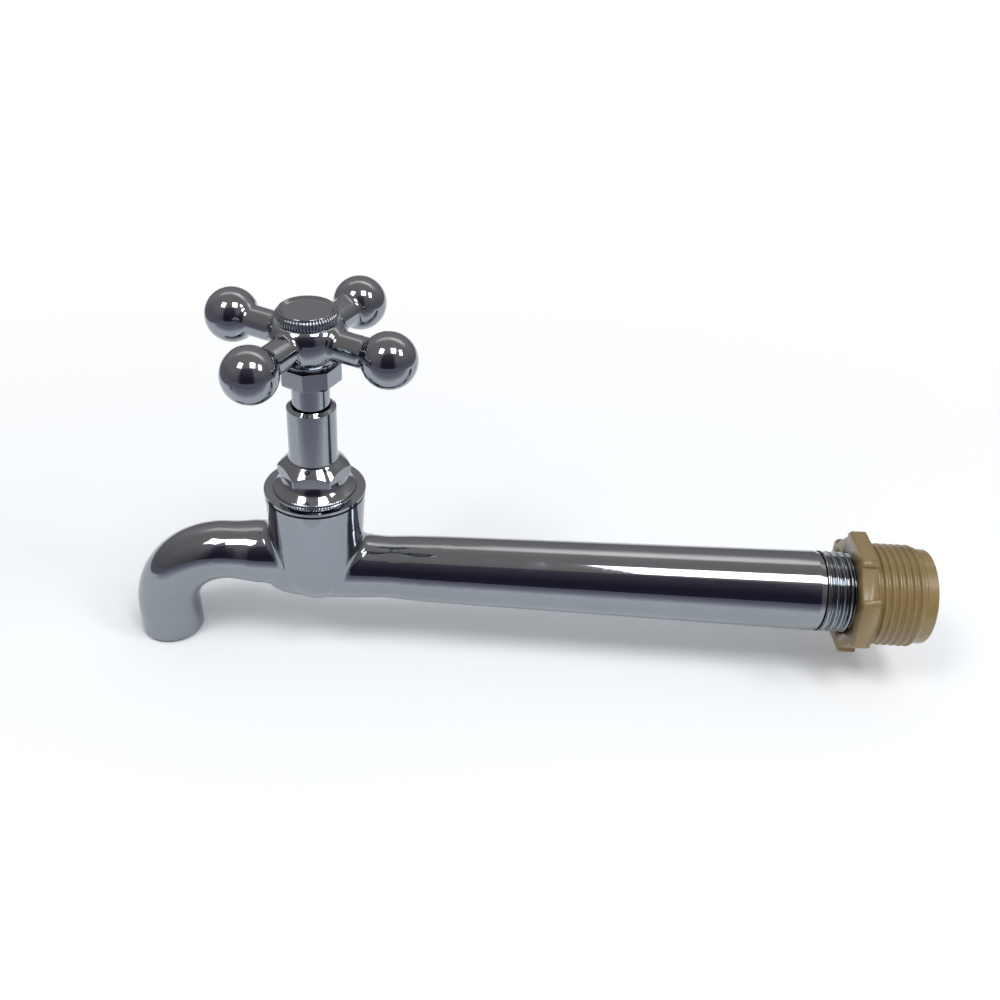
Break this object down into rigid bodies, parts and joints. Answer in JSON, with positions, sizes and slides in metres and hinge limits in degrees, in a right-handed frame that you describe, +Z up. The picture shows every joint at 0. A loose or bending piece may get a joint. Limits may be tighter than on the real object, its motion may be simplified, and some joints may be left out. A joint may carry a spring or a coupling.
{
  "type": "sink tap",
  "caption": "Wall-mounted sink tap with a long inlet shank, a down-turned spout, a rising spindle under a cross handle, and a plastic reducing bushing.",
  "frame": {"origin": "middle of the inlet, in the bushing flange's face that meets the wall fitting", "axes": "+X along the inlet into the wall, +Z up along the spindle"},
  "size_m": [0.2077, 0.0526, 0.0973],
  "materials": {
    "chrome_body": "polished chrome plate",
    "chrome_bonnet": "polished chrome plate",
    "chrome_spindle": "polished chrome plate",
    "chrome_handle": "polished chrome plate",
    "beige_plastic": "moulded, slightly glossy",
    "seal_rubber": "matte",
    "bare_brass": "turned, unplated",
    "screw_steel": "zinc plated"
  },
  "bodies": {
    "tap": {"tap_body": "chrome_body", "inlet_bushing": "beige_plastic", "bonnet_gasket": "seal_rubber", "bonnet": "chrome_bonnet"},
    "jumper": {"jumper_valve": "bare_brass", "seat_washer": "seal_rubber", "washer_nut": "bare_brass"},
    "spindle": {"spindle": "chrome_spindle", "upper_o_ring": "seal_rubber", "lower_o_ring": "seal_rubber", "handle_cross": "chrome_handle", "handle_screw": "screw_steel", "screw_washer": "screw_steel", "index_cap": "chrome_handle"}
  },
  "joints": [
    {"name": "spindle_lift", "type": "slide", "parent": "tap", "child": "jumper", "axis": [0, 0, 1], "range_m": [0, 0.005]},
    {"name": "handle_turn", "type": "hinge", "parent": "jumper", "child": "spindle", "pos_m": [-0.142, 0, 0], "axis": [0, 0, 1], "range_deg": [0, 900]}
  ],
  "couplings": [
    {"joint": "spindle_lift", "follows": "handle_turn", "m_per_rad": 0.000318}
  ]
}
